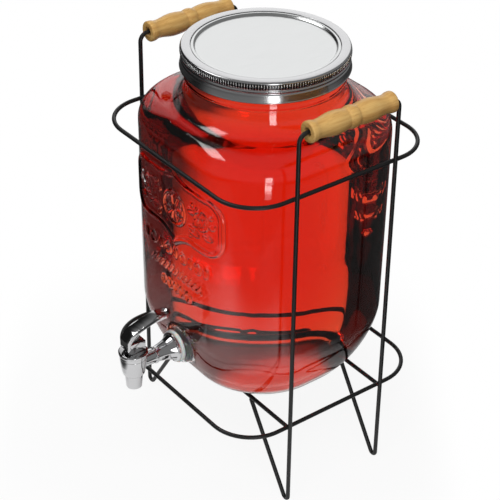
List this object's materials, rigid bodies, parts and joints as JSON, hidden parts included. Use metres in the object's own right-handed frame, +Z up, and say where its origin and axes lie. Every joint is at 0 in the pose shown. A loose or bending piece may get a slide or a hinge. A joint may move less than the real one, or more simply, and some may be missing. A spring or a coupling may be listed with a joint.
{
  "type": "drink dispenser",
  "caption": "Rounded-square glass jar with a flip-lever tap and a screw lid, in a bent-wire stand with turned wooden grips, for serving cold drinks.",
  "frame": {"origin": "on the floor, under the middle of the whole object's box", "axes": "+Z up; -Y is the front, where the tap is; the grips lie along Y at +X (right) and -X (left)"},
  "size_m": [0.2572, 0.2738, 0.4214],
  "materials": {
    "black_wire": "satin black powder coat",
    "wood": "pale honey hardwood, thin clear lacquer, grain along the grip",
    "glass": "clear pressed glass",
    "tap_chrome": "bright plated",
    "stem_steel": "plain stainless",
    "milky_washer": "milky silicone",
    "nut_plastic": "milky plastic",
    "soft_rubber": "soft silicone",
    "lid_panel": "smooth tinned sheet",
    "lid_band_metal": "bright sheet with a knurled edge"
  },
  "bodies": {
    "stand": {"stand_side_right": "black_wire", "stand_side_left": "black_wire", "stand_guard_ring": "black_wire", "stand_cradle_ring": "black_wire", "stand_crossbar_front": "black_wire", "stand_crossbar_rear": "black_wire"},
    "grip_right": {"wood_grip_right": "wood"},
    "grip_left": {"wood_grip_left": "wood"},
    "jar": {"jar_foot": "glass", "jar_heel": "glass", "jar_wall": "glass", "jar_crown": "glass", "tap_body": "tap_chrome", "tap_bonnet": "tap_chrome", "tap_outer_washer": "milky_washer", "tap_inner_washer": "milky_washer", "tap_nut": "nut_plastic", "tap_spring": "stem_steel"},
    "tap_stem": {"tap_stem": "stem_steel", "tap_seat_plug": "soft_rubber", "tap_pivot_pin": "tap_chrome"},
    "tap_lever": {"tap_lever": "tap_chrome"},
    "lid": {"lid_disc": "lid_panel", "lid_seal": "soft_rubber"},
    "lid_band": {"lid_band": "lid_band_metal"}
  },
  "joints": [
    {"name": "grip_right_spin", "type": "hinge", "parent": "stand", "child": "grip_right", "pos_m": [0.117, 0.0262, 0.4], "axis": [0, 1, 0], "continuous": true},
    {"name": "grip_left_spin", "type": "hinge", "parent": "stand", "child": "grip_left", "pos_m": [-0.117, 0.0262, 0.4], "axis": [0, 1, 0], "continuous": true},
    {"name": "jar_lift", "type": "slide", "parent": "stand", "child": "jar", "axis": [0, 0, 1], "range_m": [0, 0.13]},
    {"name": "lid_lift", "type": "slide", "parent": "jar", "child": "lid", "axis": [0, 0, 1], "range_m": [0, 0.0256]},
    {"name": "band_turn", "type": "hinge", "parent": "lid", "child": "lid_band", "pos_m": [0, 0.0262, 0.41], "axis": [0, 0, 1], "range_deg": [0, 1440]},
    {"name": "stem_lift", "type": "slide", "parent": "jar", "child": "tap_stem", "axis": [0, 0, 1], "range_m": [0, 0.0056], "deforming": ["tap_spring"]},
    {"name": "lever_flip", "type": "hinge", "parent": "tap_stem", "child": "tap_lever", "pos_m": [0, -0.1231, 0.1556], "axis": [1, 0, 0], "range_deg": [0, 90]}
  ],
  "couplings": [
    {"joint": "lid_lift", "follows": "band_turn", "m_per_rad": 0.0010106},
    {"joint": "stem_lift", "follows": "lever_flip", "m_per_rad": 0.0035014}
  ]
}
